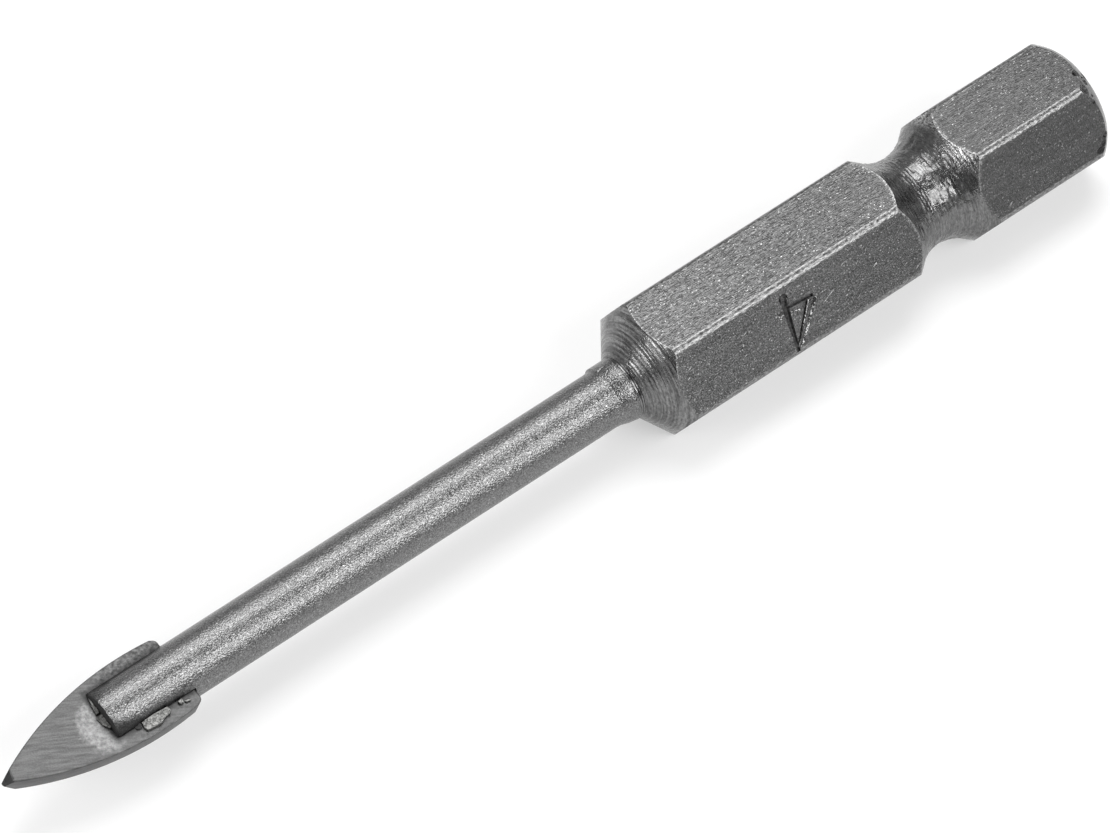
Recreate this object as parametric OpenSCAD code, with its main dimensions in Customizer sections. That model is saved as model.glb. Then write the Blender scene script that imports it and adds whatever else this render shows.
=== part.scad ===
// Glass and tile drill bit: a turned hexagonal shank with a carbide spear blade brazed in its slot.
// Millimetres. The axis runs along X: rear end face at the origin, point towards -X, hexagon flat on top.

/* [Overall] */
// Rear end face to the point of the blade
overall_length = 62.6; // [50:0.1:110]

/* [Hexagonal shank] */
// Across the flats, the 1/4 inch hexagon of quick-change chucks
hex_across_flats = 6.35; // [5.5:0.05:8]
// How far the corners are turned down below a sharp hexagon
corner_break = 0.056; // [0.02:0.002:0.15]
// Rear end face to where the shoulder cone leaves the corners
hex_length = 25.7; // [20:0.1:32]

/* [Rear end] */
// Length of the rounding behind the corners
end_round_length = 1; // [0.6:0.1:1.6]
// How far the rounding takes the corners in at the end face
end_round_depth = 0.8; // [0.5:0.1:1.2]
// Radius of the rounding
end_round_radius = 2.6; // [1.5:0.1:5]

/* [Locking groove] */
// Rear end face to the middle of the groove
groove_centre = 9.8; // [8:0.1:12]
// Depth of the groove below the corners
groove_depth = 1.23; // [0.8:0.01:1.5]
// Radius of the groove's round floor
groove_radius = 2.55; // [1.5:0.05:3]
// Slope of the groove's walls, measured from the axis
groove_wall_angle = 37.5; // [30:0.5:60]

/* [Shoulder] */
// Slope of the shoulder cone, measured from the axis
shoulder_angle = 52; // [35:1:70]
// Height of the collar above the shaft
collar_step = 0.18; // [0.08:0.01:0.4]
// Straight length of the collar in front of the cone
collar_length = 0.45; // [0.2:0.05:1.5]
// Length of the taper from the collar down to the shaft
collar_taper = 0.8; // [0.3:0.05:1.5]

/* [Shaft] */
// Diameter of the round shaft
shaft_d = 2.85; // [2.4:0.05:3.4]

/* [Carbide blade] */
// Width over the cutting edges, a little over the stamped hole size
tip_width = 4.2; // [3.6:0.05:6]
// Thickness of the plate
tip_thickness = 1.15; // [0.8:0.05:1.4]
// Point to the rear edge
tip_length = 9.65; // [8.5:0.05:14]
// Point to the widest place
tip_widest = 7.55; // [5:0.05:8.5]
// Length of the sharp end that the two point facets grind away
point_trim = 0.15; // [0.05:0.01:0.4]
// Slope of each point facet, measured from the axis
point_angle = 50; // [35:1:65]
// Turn of the point facets about the axis
point_skew = 18; // [0:1:30]
// Clearance angle behind each side edge
side_relief = 8; // [0:0.5:10]
// Radius of the rear corners
rear_corner = 0.28; // [0.1:0.02:0.6]
// Turn of the blade about the axis, measured from the top flat
tip_turn = 12; // [0:1:30]

/* [Brazed seat] */
// Length of the blade that sits in the slot
seat_depth = 4.2; // [3:0.05:5]
// Thickness of the filler between the blade and each slot wall
braze_gap = 0.06; // [0.04:0.01:0.12]
// Height of the filler bead at the shaft's end
bead_height = 0.16; // [0.1:0.01:0.25]
// Share of the seat's length that the flake beside the shaft covers
flake_share = 0.38; // [0.2:0.02:0.5]

/* [Size figure] */
// Rear end face to the middle of the figure
figure_centre = 19.1; // [17:0.1:22]
// Height of the figure, across the flat
figure_height = 3.05; // [2:0.05:3.2]
// Width of the figure
figure_width = 2.1; // [1.2:0.05:2.4]
// Width of its strokes
figure_stroke = 0.26; // [0.15:0.01:0.4]
// Depth of its strokes
figure_depth = 0.1; // [0.05:0.01:0.2]

/* [Hidden] */
$fn = 96;
over = 1;
hex_r = hex_across_flats / 2;
corner_r = hex_r / cos(30) - corner_break;
shaft_r = shaft_d / 2;
collar_r = shaft_r + collar_step;
shoulder_length = (corner_r - collar_r) / tan(shoulder_angle);
collar_start = hex_length + shoulder_length;
collar_end = collar_start + collar_length;
groove_floor = corner_r - groove_depth;
blade_rear = overall_length - tip_length;
shaft_end = blade_rear + seat_depth;
slot_rear = blade_rear - braze_gap;
slot_width = tip_thickness + 2 * braze_gap;
half_width = tip_width / 2 * cos(side_relief) - tip_thickness / 2 * sin(side_relief);
side_length = tip_widest + point_trim;
side_radius = (pow(side_length, 2) + pow(half_width, 2)) / (2 * half_width);
widest_at = overall_length - tip_widest;
rear_width = sqrt(pow(side_radius, 2) - pow(widest_at - blade_rear, 2)) - side_radius + half_width;
flake_length = flake_share * seat_depth;
chord_half = sqrt(pow(shaft_r, 2) - pow(slot_width / 2, 2));

shank();
carbide_tip();
braze();

// One bar of tool steel: hexagon, groove, shoulder and shaft turned from it, slot milled, size stamped.
module shank()
{
    color("DimGray")
        along_axis()
            shank_body();
}

// One sintered carbide plate, ground to a spear point.
module carbide_tip()
{
    color("Gray")
        along_axis()
            blade();
}

// The filler that has run into the slot, with the beads that stayed outside it.
module braze()
{
    color("Silver")
        along_axis()
            difference()
            {
                turn_blade()
                    union()
                    {
                        slot_filler();
                        face_filler();
                        rotate([0, 0, 180])
                            face_filler();
                    }
                shank_body();
                blade();
            }
}

// Local Z runs from the rear end face to the point, local X is up.
module along_axis()
{
    rotate([0, -90, 0])
        children();
}

module turn_blade()
{
    rotate([0, 0, -tip_turn])
        children();
}

module shank_body()
{
    difference()
    {
        intersection()
        {
            rotate_extrude()
                turned_outline();
            translate([0, 0, -over])
                rotate([0, 0, 30])
                    linear_extrude(height = overall_length)
                        circle(r = hex_r / cos(30), $fn = 6);
        }
        turn_blade()
            slot();
        rotate([0, 0, -60])
            size_figure();
    }
}

// Half of the turned section: X is the radius, Y the distance from the rear end face.
module turned_outline()
{
    difference()
    {
        polygon([
            [0, 0],
            [corner_r, 0],
            [corner_r, hex_length],
            [collar_r, collar_start],
            [collar_r, collar_end],
            [shaft_r, collar_end + collar_taper],
            [shaft_r, shaft_end],
            [0, shaft_end]
        ]);
        groove_outline();
        end_rounding();
    }
}

module groove_outline()
{
    rise = groove_radius * (1 - cos(groove_wall_angle));
    half_floor = groove_radius * sin(groove_wall_angle);
    wall_top = corner_r + over;
    half_top = half_floor + (wall_top - groove_floor - rise) / tan(groove_wall_angle);
    translate([groove_floor + groove_radius, groove_centre])
        circle(r = groove_radius);
    polygon([
        [groove_floor + rise, groove_centre - half_floor],
        [wall_top, groove_centre - half_top],
        [wall_top, groove_centre + half_top],
        [groove_floor + rise, groove_centre + half_floor]
    ]);
}

// What the rounding takes off: the corner of the section outside an arc through its two ends.
module end_rounding()
{
    chord = sqrt(pow(end_round_length, 2) + pow(end_round_depth, 2));
    reach = sqrt(pow(end_round_radius, 2) - pow(chord / 2, 2));
    face_r = corner_r - end_round_depth;
    difference()
    {
        translate([face_r, -over])
            square([end_round_depth + over, end_round_length + over]);
        translate([
            face_r + end_round_depth / 2 - reach * end_round_length / chord,
            end_round_length / 2 + reach * end_round_depth / chord
        ])
            circle(r = end_round_radius, $fn = 240);
    }
}

module slot()
{
    translate([-slot_width / 2, -tip_width, slot_rear])
        cube([slot_width, 2 * tip_width, seat_depth + braze_gap + over]);
}

// A plain stamped 4, drawn here on the top flat; the body turns it onto the next one.
module size_figure()
{
    foot = 0.3 * figure_height;
    side = 0.2 * figure_width;
    top = figure_height / 2;
    stroke([side, -top], [side, top]);
    stroke([side, top], [side - figure_width + figure_stroke, foot - top]);
    stroke([side - figure_width + figure_stroke, foot - top], [2 * side, foot - top]);
}

// Stroke ends are given along the axis from the figure's middle, and across the flat.
module stroke(from, to)
{
    run = to - from;
    translate([hex_r - figure_depth, -from[1], figure_centre + from[0]])
        rotate([atan2(run[0], -run[1]), 0, 0])
            rotate([0, 90, 0])
            {
                cylinder(d = figure_stroke, h = figure_depth + over, $fn = 24);
                translate([-figure_stroke / 2, 0, 0])
                    cube([figure_stroke, norm(run), figure_depth + over]);
                translate([0, norm(run), 0])
                    cylinder(d = figure_stroke, h = figure_depth + over, $fn = 24);
            }
}

module blade()
{
    turn_blade()
        intersection()
        {
            translate([-tip_thickness / 2, -tip_width, blade_rear])
                cube([tip_thickness, 2 * tip_width, tip_length]);
            blade_side();
            rotate([0, 0, 180])
                blade_side();
            point_facet();
            rotate([0, 0, 180])
                point_facet();
        }
}

// Everything inside one curved side edge, leaning back by the relief.
module blade_side()
{
    rotate([0, 0, -side_relief])
        rotate([90, 0, 90])
            linear_extrude(height = 3 * tip_thickness, center = true)
                intersection()
                {
                    translate([half_width - side_radius, widest_at])
                        circle(r = side_radius, $fn = 720);
                    rounded_rear();
                }
}

module rounded_rear()
{
    inner = rear_width - rear_corner;
    translate([-2 * tip_width, blade_rear + rear_corner])
        square([4 * tip_width, tip_length]);
    translate([-2 * tip_width, blade_rear - over])
        square([2 * tip_width + inner, over + 2 * rear_corner]);
    translate([inner, blade_rear + rear_corner])
        circle(r = rear_corner, $fn = 48);
}

// Everything behind one facet of the point.
module point_facet()
{
    span = 3 * tip_length;
    translate([0, 0, overall_length])
        rotate([0, 0, point_skew])
            rotate([0, -point_angle, 0])
                translate([-span, -span / 2, -span / 2])
                    cube(span);
}

module slot_filler()
{
    intersection()
    {
        translate([-slot_width / 2, -shaft_r, slot_rear])
            cube([slot_width, shaft_d, seat_depth + braze_gap]);
        translate([0, 0, slot_rear])
            cylinder(r = shaft_r, h = seat_depth + braze_gap);
    }
}

// On one face: a low bead across the shaft's end, and a flake left in the corner beside the shaft.
module face_filler()
{
    face = tip_thickness / 2;
    translate([face, -0.75 * chord_half, shaft_end])
        rotate([-90, 0, 0])
            linear_extrude(height = 1.3 * chord_half)
                polygon([[0, 0], [bead_height, 0], [0, -1.2 * bead_height]]);
    translate([face, -chord_half - 2.6 * bead_height, shaft_end - 0.3 * seat_depth - flake_length])
        linear_extrude(height = flake_length)
            polygon([
                [0, 0],
                [bead_height, 0.5 * bead_height],
                [1.6 * bead_height, 1.6 * bead_height],
                [1.6 * bead_height, 2.6 * bead_height],
                [0, 3.4 * bead_height]
            ]);
}
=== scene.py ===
# %% [markdown]
# # A glass and tile drill bit
# The bit is three pieces: a steel shank turned from hexagon bar, a carbide spear blade in a slot at
# its end, and the braze that holds the blade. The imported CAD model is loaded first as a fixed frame.
# Each piece is then modelled again with the finer marks of its making, and takes its node's place.

# %% Load the frame
import math
import random

import bpy
from mathutils import Matrix, Vector


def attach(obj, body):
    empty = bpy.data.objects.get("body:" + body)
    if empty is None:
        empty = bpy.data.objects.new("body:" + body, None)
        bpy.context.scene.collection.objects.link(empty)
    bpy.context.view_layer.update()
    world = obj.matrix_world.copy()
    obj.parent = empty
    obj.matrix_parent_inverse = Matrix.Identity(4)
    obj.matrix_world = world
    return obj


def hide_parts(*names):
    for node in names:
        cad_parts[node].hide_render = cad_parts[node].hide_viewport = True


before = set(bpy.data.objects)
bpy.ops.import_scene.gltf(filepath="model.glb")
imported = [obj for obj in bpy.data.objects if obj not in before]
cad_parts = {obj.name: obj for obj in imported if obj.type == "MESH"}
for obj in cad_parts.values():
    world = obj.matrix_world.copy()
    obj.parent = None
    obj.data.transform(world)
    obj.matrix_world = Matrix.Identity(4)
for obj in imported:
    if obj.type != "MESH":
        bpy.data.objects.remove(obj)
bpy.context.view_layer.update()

# %% [markdown]
# ## Working in millimetres
# The bit is only 63 mm long and some of its marks are a few hundredths of a millimetre deep. Blender's
# tools have merge distances made for larger things, so each piece is modelled with one unit as a
# millimetre and is scaled to metres when it is finished. The X axis is the axis of the bit: the rear
# end face is at zero and the point is towards minus X.

# %% Helpers for modelling
MM = 0.001


def start_fresh():
    """Object mode with nothing selected: an operator acts on all that is selected."""
    if bpy.context.object and bpy.context.object.mode != "OBJECT":
        bpy.ops.object.mode_set(mode="OBJECT")
    bpy.ops.object.select_all(action="DESELECT")


def only(piece):
    """Select one piece and make it active."""
    start_fresh()
    piece.select_set(True)
    bpy.context.view_layer.objects.active = piece


def edit_selected(piece, kind, elements, test):
    """Enter edit mode with just those vertices, edges or faces selected that pass a test."""
    only(piece)
    bpy.ops.object.mode_set(mode="EDIT")
    bpy.ops.mesh.select_mode(type=kind)
    bpy.ops.mesh.select_all(action="DESELECT")
    bpy.ops.object.mode_set(mode="OBJECT")
    for element in elements:
        element.select = test(element)
    bpy.ops.object.mode_set(mode="EDIT")


def draw_line(name, points):
    """A plane is merged to one vertex, which is then extruded from point to point."""
    start_fresh()
    bpy.ops.mesh.primitive_plane_add(size=1)
    piece = bpy.context.object
    piece.name = name
    bpy.ops.object.mode_set(mode="EDIT")
    bpy.ops.mesh.select_mode(type="VERT")
    bpy.ops.mesh.merge(type="CENTER")
    bpy.ops.transform.translate(value=points[0])
    for here, there in zip(points, points[1:]):
        step = Vector(there) - Vector(here)
        bpy.ops.mesh.extrude_region_move(TRANSFORM_OT_translate={"value": step})
    bpy.ops.object.mode_set(mode="OBJECT")
    return piece


def extruded(name, points, height):
    """An outline is drawn, filled and extruded upwards; the ends of the line are joined by the fill."""
    piece = draw_line(name, points)
    bpy.ops.object.mode_set(mode="EDIT")
    bpy.ops.mesh.select_all(action="SELECT")
    bpy.ops.mesh.edge_face_add()
    bpy.ops.mesh.extrude_region_move(TRANSFORM_OT_translate={"value": (0, 0, height)})
    bpy.ops.object.mode_set(mode="OBJECT")
    clean_shell(piece)
    return piece


def apply_place(piece):
    only(piece)
    bpy.ops.object.transform_apply(location=True, rotation=True, scale=True)


def apply_modifier(piece, kind, **settings):
    """Add a modifier, give it its settings and apply it at once."""
    only(piece)
    bpy.ops.object.modifier_add(type=kind)
    modifier = piece.modifiers[-1]
    for key, value in settings.items():
        setattr(modifier, key, value)
    bpy.ops.object.modifier_apply(modifier=modifier.name)


def boolean(piece, tool, operation):
    """Cut a piece with a tool, join the two, or keep only what both share; then throw the tool away."""
    apply_modifier(piece, "BOOLEAN", operation=operation, object=tool, solver="EXACT")
    bpy.data.objects.remove(tool)


def clean_shell(piece):
    """Merge doubles and turn every face outwards."""
    only(piece)
    bpy.ops.object.mode_set(mode="EDIT")
    bpy.ops.mesh.select_all(action="SELECT")
    bpy.ops.mesh.remove_doubles(threshold=0.0005)
    bpy.ops.mesh.normals_make_consistent(inside=False)
    bpy.ops.object.mode_set(mode="OBJECT")


def roughen(piece, grain, depth, test):
    """Push the vertices that pass a test in and out by a cloudy noise; grain and depth are in mm."""
    edit_selected(piece, "VERT", piece.data.vertices, test)
    bpy.ops.object.vertex_group_add()
    bpy.ops.object.vertex_group_assign()
    group = piece.vertex_groups.active.name
    cloud = bpy.data.textures.new("torn_metal", "CLOUDS")
    cloud.noise_scale = grain
    cloud.noise_depth = 2
    apply_modifier(piece, "DISPLACE", texture=cloud, texture_coords="LOCAL", vertex_group=group,
                   strength=depth)
    piece.vertex_groups.clear()
    bpy.data.textures.remove(cloud)


def to_metres(piece):
    """Scale a finished piece from millimetres, so that it sits at the origin unturned and unscaled."""
    piece.scale = (MM, MM, MM)
    apply_place(piece)
    print(piece.name, "has", len(piece.data.polygons), "faces, size in mm",
          [round(d / MM, 2) for d in piece.dimensions])


# %% [markdown]
# ## The turned blank
# On the real bit the shank starts as hexagon bar. A lathe tool rounds its rear end, cuts the locking
# groove and the shoulder cone and turns the front down to a slim shaft. A lathe is what the spin tool
# imitates: half of the section is drawn as a line of vertices, and is then spun about the axis. The
# tool's feed leaves small scallops on the cone and in the groove, so these are drawn in the section.

# %% Sizes of the shank
HEX_FLATS = 6.35
HEX_R = HEX_FLATS / 2
HALF_SIXTH = math.radians(30)
SHARP_R = HEX_R / math.cos(HALF_SIXTH)
CORNER_R = SHARP_R - 0.056
HEX_LENGTH = 25.7
GROOVE_AT = 9.8
GROOVE_WALL = math.radians(37.5)
SHAFT_R = 1.425
COLLAR_R = SHAFT_R + 0.18
SHOULDER_SLOPE = math.tan(math.radians(52))
COLLAR_START = HEX_LENGTH + (CORNER_R - COLLAR_R) / SHOULDER_SLOPE
POINT_AT = 62.6
BLADE_LENGTH = 9.65
SEAT_DEPTH = 4.2
BLADE_REAR = POINT_AT - BLADE_LENGTH
SHAFT_END = BLADE_REAR + SEAT_DEPTH
random.seed(4)
print("corners", round(CORNER_R, 3), "collar from", round(COLLAR_START, 2), "shaft to", round(SHAFT_END, 2))


# %% Radius of the turned surface at a distance from the rear end
def groove_radius(z, floor=CORNER_R - 1.23, radius=2.55):
    """A round floor between two straight walls."""
    away = abs(z - GROOVE_AT)
    reach = radius * math.sin(GROOVE_WALL)
    if away < reach:
        return floor + radius - math.sqrt(radius ** 2 - away ** 2)
    return floor + radius * (1 - math.cos(GROOVE_WALL)) + (away - reach) * math.tan(GROOVE_WALL)


def cone_radius(z):
    return CORNER_R - (z - HEX_LENGTH) * SHOULDER_SLOPE


def scalloped(radius_at, start, end, pitch, depth, uneven=0.0, points_each=4):
    """Points along a cut whose feed marks dip by about the given depth, no two alike."""
    points = []
    count = max(1, round((end - start) / pitch))
    widths = [1 + random.uniform(-uneven, uneven) if uneven else 1 for mark in range(count)]
    here = start
    for width in widths:
        step = (end - start) * width / sum(widths)
        dip = depth * random.uniform(0.35, 1.3)
        for k in range(points_each):
            part = k / points_each
            z = here + part * step
            points.append((z, radius_at(z) - dip * 4 * part * (1 - part)))
        here += step
    return points


def rear_rounding(length=1.0, depth=0.8, radius=2.6, steps=12):
    """An arc from the end face out to the corners of the hexagon."""
    chord = math.hypot(length, depth)
    reach = math.sqrt(radius ** 2 - chord ** 2 / 4)
    face_r = CORNER_R - depth
    centre_z = length / 2 + reach * depth / chord
    centre_r = face_r + depth / 2 - reach * length / chord
    first = math.atan2(face_r - centre_r, -centre_z)
    last = math.atan2(CORNER_R - centre_r, length - centre_z)
    angles = [first + (last - first) * k / steps for k in range(steps + 1)]
    return [(centre_z + radius * math.cos(a), centre_r + radius * math.sin(a)) for a in angles]


# %% Draw the half section and spin it
# The blank stands a little over the bar's corners, so that the bar trims it cleanly.
OVER = 0.14
BLANK_R = CORNER_R + OVER
GROOVE_HALF = 2.65
GROOVE_FROM = GROOVE_AT - GROOVE_HALF
GROOVE_TO = GROOVE_AT + GROOVE_HALF
END_BREAK = 0.03
section = [(0, 0), (0, 1.4)] + rear_rounding() + [(1.3, BLANK_R)]
section += scalloped(groove_radius, GROOVE_FROM, GROOVE_TO, pitch=0.19, depth=0.012)
section += [(GROOVE_TO, BLANK_R)]
section += scalloped(cone_radius, HEX_LENGTH - OVER / SHOULDER_SLOPE, COLLAR_START,
                     pitch=0.12, depth=0.026, uneven=0.45)
section += scalloped(lambda z: COLLAR_R + 0.04, COLLAR_START, COLLAR_START + 0.36,
                     pitch=0.12, depth=0.03)
section += [(COLLAR_START + 0.45, COLLAR_R), (COLLAR_START + 0.65, COLLAR_R - 0.03)]
section += [(COLLAR_START + 1.03, SHAFT_R + 0.04), (COLLAR_START + 1.06, SHAFT_R + 0.03)]
section += [(COLLAR_START + 1.1, SHAFT_R + 0.02), (COLLAR_START + 1.4, SHAFT_R)]
section += [(z, SHAFT_R) for z in (33, 38, 43, 48, 53, SHAFT_END - END_BREAK)]
section += [(SHAFT_END, SHAFT_R - END_BREAK), (SHAFT_END, 0.7), (SHAFT_END, 0)]
shank = draw_line("turned_shank", [(-z, 0, r) for z, r in section])
bpy.ops.object.mode_set(mode="EDIT")
bpy.ops.mesh.select_all(action="SELECT")
bpy.ops.mesh.spin(steps=192, angle=2 * math.pi, center=(0, 0, 0), axis=(1, 0, 0))
clean_shell(shank)
print("blank:", len(section), "points in the section,", len(shank.data.vertices), "vertices")

# %% The torn side of the collar
# Over about a sixth of its round the collar runs on to a sharp step, where the lathe tool tore away a chip.
TORN_R = SHAFT_R + 0.12
TORN_LENGTH = 1.04
TORN_TURN = 66
torn = 0
for vertex in shank.data.vertices:
    lift = math.degrees(math.atan2(vertex.co.z, vertex.co.y))
    if -0.01 < -vertex.co.x - COLLAR_START < TORN_LENGTH and 0 < lift < TORN_TURN:
        vertex.co.yz = vertex.co.yz.normalized() * TORN_R
        torn += 1
print("torn side of the collar:", torn, "vertices")

# %% [markdown]
# ## Torn metal in the groove
# The groove is one quick plunge of a form tool, and nobody polishes it: the steel is torn and uneven.
# A Displace modifier with a cloud texture could move the whole blank, so a vertex group keeps it to the
# groove. Real dents in the mesh catch the light better than a bump map would, and also from the side.

# %% Tear the groove
def in_groove(vertex):
    return abs(-vertex.co.x - GROOVE_AT) < 1.6 and vertex.co.yz.length > 1


roughen(shank, grain=0.36, depth=0.09, test=in_groove)
print("groove torn:", len(shank.data.vertices), "vertices in the blank")

# %% [markdown]
# ## Hexagon and slot
# What is left of the hexagon bar is the space that the turned blank and a six-sided prism share, so a
# Boolean keeps the intersection. It gives the curved edges where the flats run out into the cone and
# the groove. Drawn bar has rounded corners, and each shows as two bright lines because its two sides
# catch two lamps; so the prism's long edges are bevelled first. A cube then saws the slot for the blade,
# which is turned 12 degrees from the top flat.

# %% Keep the hexagon
CORNER_ROUND = (SHARP_R - CORNER_R) / (1 / math.cos(HALF_SIXTH) - 1)
start_fresh()
bpy.ops.mesh.primitive_cylinder_add(vertices=6, radius=SHARP_R, depth=80, location=(-30, 0, 0),
                                    rotation=(0, math.radians(90), 0))
bar = bpy.context.object
apply_place(bar)


def runs_along(edge):
    ends = [bar.data.vertices[k].co.x for k in edge.vertices]
    return abs(ends[0] - ends[1]) > 1


edit_selected(bar, "EDGE", bar.data.edges, runs_along)
bpy.ops.mesh.bevel(offset=CORNER_ROUND * math.tan(HALF_SIXTH), segments=8, profile=0.5)
bpy.ops.object.mode_set(mode="OBJECT")
print("bar:", len(bar.data.polygons), "faces, corners rounded to", round(CORNER_ROUND, 3), "mm")
boolean(shank, bar, "INTERSECT")

# %% Saw the slot
BLADE_TURN = math.radians(12)
PLATE = 1.15
BRAZE_GAP = 0.06
SLOT_WIDTH = PLATE + 2 * BRAZE_GAP


def slot_block(rear, thickness, length=20, width=8):
    """A block from a place on the axis to well past the point, as thick as a slot or a blade."""
    start_fresh()
    bpy.ops.mesh.primitive_cube_add(size=1, location=(rear - length / 2, 0, 0))
    block = bpy.context.object
    block.scale = (length, width, thickness)
    return block


saw = slot_block(-BLADE_REAR + BRAZE_GAP, SLOT_WIDTH)
saw.rotation_euler.x = BLADE_TURN
boolean(shank, saw, "DIFFERENCE")
print("after the Booleans:", len(shank.data.polygons), "faces")

# %% [markdown]
# ## The stamped size and the knocks
# A hand stamp drives a 4 into one flat, and the steel that it pushes aside stands up as a lip along each
# stroke, as it does along a few scratches. So low bars are first joined to the flat as lips, and wedges
# are then cut beside them. The stem was struck deepest and is round at one end; the slant is a shallow
# band with a narrow deep line in it. Balls cut the round end in the same way, and the knocks that the
# rear end has had.

# %% A bar along a stroke of the figure
FIGURE_AT = 19.1
FLAT_TURN = math.radians(60)
FIGURE_NORMAL = Vector((0, -math.sin(FLAT_TURN), math.cos(FLAT_TURN)))
FIGURE_HALF = 1.9
STEM = ((0.44, -1.05), (0.57, 1.56))
SLANT = ((-0.66, -0.30), (0.50, 1.47))
SLANT_BAND = ((-0.97, -0.28), (0.37, 1.46))
CROSS_BAR = ((-0.98, -0.45), (0.38, -0.59))
SLANT_LIP = ((-1.20, -0.25), (0.24, 1.50))
SMALL_LIPS = [((0.33, -0.33), (0.20, -0.24)), ((0.16, -0.22), (-0.22, -0.14)),
              ((0.98, -0.54), (0.90, -0.24))]
SCRATCHES = [((-4.94, -0.06), (-4.62, 0.04)), ((-4.72, -0.16), (-4.60, -0.02)),
             ((3.32, 0.02), (3.10, -0.24))]


def bar_along(stroke, low, high, width_low, width_high, taper=1.0):
    """A bar with sloping sides from below to above the top flat, then turned onto its own flat."""
    start_fresh()
    bpy.ops.mesh.primitive_cube_add(size=1)
    bar = bpy.context.object
    edit_selected(bar, "FACE", bar.data.polygons, lambda face: face.normal.z < -0.9)
    bpy.ops.transform.resize(value=(1, width_low / width_high, 1))
    bpy.ops.object.mode_set(mode="OBJECT")
    edit_selected(bar, "FACE", bar.data.polygons, lambda face: face.normal.x < -0.9)
    bpy.ops.transform.resize(value=(1, taper, 1))
    bpy.ops.object.mode_set(mode="OBJECT")
    start, end = Vector(stroke[0]), Vector(stroke[1])
    run, middle = end - start, (start + end) / 2
    bar.scale = (run.length + 0.7 * width_high, width_high, high - low)
    bar.rotation_euler.z = math.atan2(run.y, run.x)
    bar.location = (-FIGURE_AT - middle.x, -middle.y, HEX_R + (low + high) / 2)
    apply_place(bar)
    bar.rotation_euler.x = FLAT_TURN
    return bar


# %% A ball half sunk in the steel
def ball(along, turn, radius, size):
    """A stretched ball at a distance from the rear end; the turn is in degrees from the front upwards."""
    start_fresh()
    bpy.ops.mesh.primitive_ico_sphere_add(subdivisions=3, radius=1)
    tool = bpy.context.object
    lift = math.radians(turn)
    tool.scale = size
    tool.location = (-along, -radius * math.cos(lift), radius * math.sin(lift))
    tool.rotation_euler.x = math.radians(90) - lift
    return tool


# %% Raise the lips, cut the strokes
# For each bar: its stroke, its lower and upper height over the flat, its width at both, and its taper.
lips = [bar_along(lip, -0.03, 0.03, 0.13, 0.05) for lip in SMALL_LIPS]
lips += [bar_along(scratch, -0.03, 0.01, 0.07, 0.03) for scratch in SCRATCHES]
lips.append(bar_along(SLANT_LIP, -0.03, 0.04, 0.20, 0.06, 0.7))
for lip in lips:
    boolean(shank, lip, "UNION")
boolean(shank, bar_along(SLANT_BAND, -0.03, 0.08, 0.28, 0.38, 0.4), "DIFFERENCE")
cuts = [bar_along(STEM, -0.12, 0.08, 0.20, 0.48, 0.55), bar_along(SLANT, -0.11, 0.09, 0.06, 0.32, 0.8),
        bar_along(CROSS_BAR, -0.10, 0.10, 0.08, 0.32)]
cuts.append(ball(FIGURE_AT + 0.44, 48.9, 3.36, (0.25, 0.25, 0.17)))
cuts.append(ball(FIGURE_AT + 0.80, 37.5, 3.20, (0.18, 0.16, 0.05)))
for cut in cuts:
    boolean(shank, cut, "DIFFERENCE")
near = [vertex.co for vertex in shank.data.vertices if abs(-vertex.co.x - FIGURE_AT) < FIGURE_HALF]
highest = max(at.dot(FIGURE_NORMAL) for at in near) - HEX_R
print("stamped:", len(shank.data.polygons), "faces, lips up to", round(highest, 3), "mm")

# %% Cut the knocks in the rear end
# For each: its distance from the rear end, its turn, its distance from the axis, and its three half sizes.
KNOCKS = [(0.44, 75, 3.29, (0.26, 0.24, 0.12)), (0.12, 70, 2.92, (0.26, 0.18, 0.10)),
          (0.32, 66, 3.16, (0.42, 0.24, 0.12)), (0.60, 59, 3.42, (0.32, 0.22, 0.11)),
          (0.43, 52, 3.28, (0.08, 0.07, 0.07)), (0.52, 46, 3.33, (0.12, 0.10, 0.08)),
          (0.42, 14, 3.26, (0.26, 0.16, 0.12)), (0.70, 10, 3.42, (0.22, 0.22, 0.09)),
          (1.00, 6, 3.50, (0.24, 0.24, 0.09))]
for knock in KNOCKS:
    boolean(shank, ball(*knock), "DIFFERENCE")
clean_shell(shank)
print("with", len(KNOCKS), "knocks:", len(shank.data.polygons), "faces")

# %% Finish the shank's mesh
# The flats' borders are marked sharp, so that smooth shading of the rounded corners leaves the flats flat.
TURNS = [math.radians(60 * k) for k in range(6)]
FLAT_NORMALS = [Vector((0, math.sin(turn), math.cos(turn))) for turn in TURNS]
SAME_WAY = 0.9999
edit_selected(shank, "FACE", shank.data.polygons,
              lambda face: any(face.normal.dot(flat) > SAME_WAY for flat in FLAT_NORMALS))
bpy.ops.mesh.region_to_loop()
bpy.ops.mesh.mark_sharp()
bpy.ops.object.mode_set(mode="OBJECT")
to_metres(shank)
bpy.ops.object.shade_smooth_by_angle(angle=math.radians(20))

# %% [markdown]
# ## The carbide blade
# The blade is a small sintered plate. Its two sides are ground to arcs that meet in the point, its
# rear corners are round, and two facets thin the point from both faces. The outline is drawn as a line
# of vertices, filled and extruded to the plate's thickness. Bisect then grinds the facets.

# %% Outline of the blade
BLADE_WIDTH = 4.2
TO_WIDEST = 7.55
POINT_TRIM = 0.15
RELIEF = math.tan(math.radians(8))
HALF_WIDTH = BLADE_WIDTH / 2 - PLATE / 2 * RELIEF
SIDE_LENGTH = TO_WIDEST + POINT_TRIM
SIDE_RADIUS = (SIDE_LENGTH ** 2 + HALF_WIDTH ** 2) / (2 * HALF_WIDTH)
WIDEST_AT = POINT_AT - TO_WIDEST
REAR_CORNER = 0.28
CORNER_STEPS = 5
ARC_STEPS = 40


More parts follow.
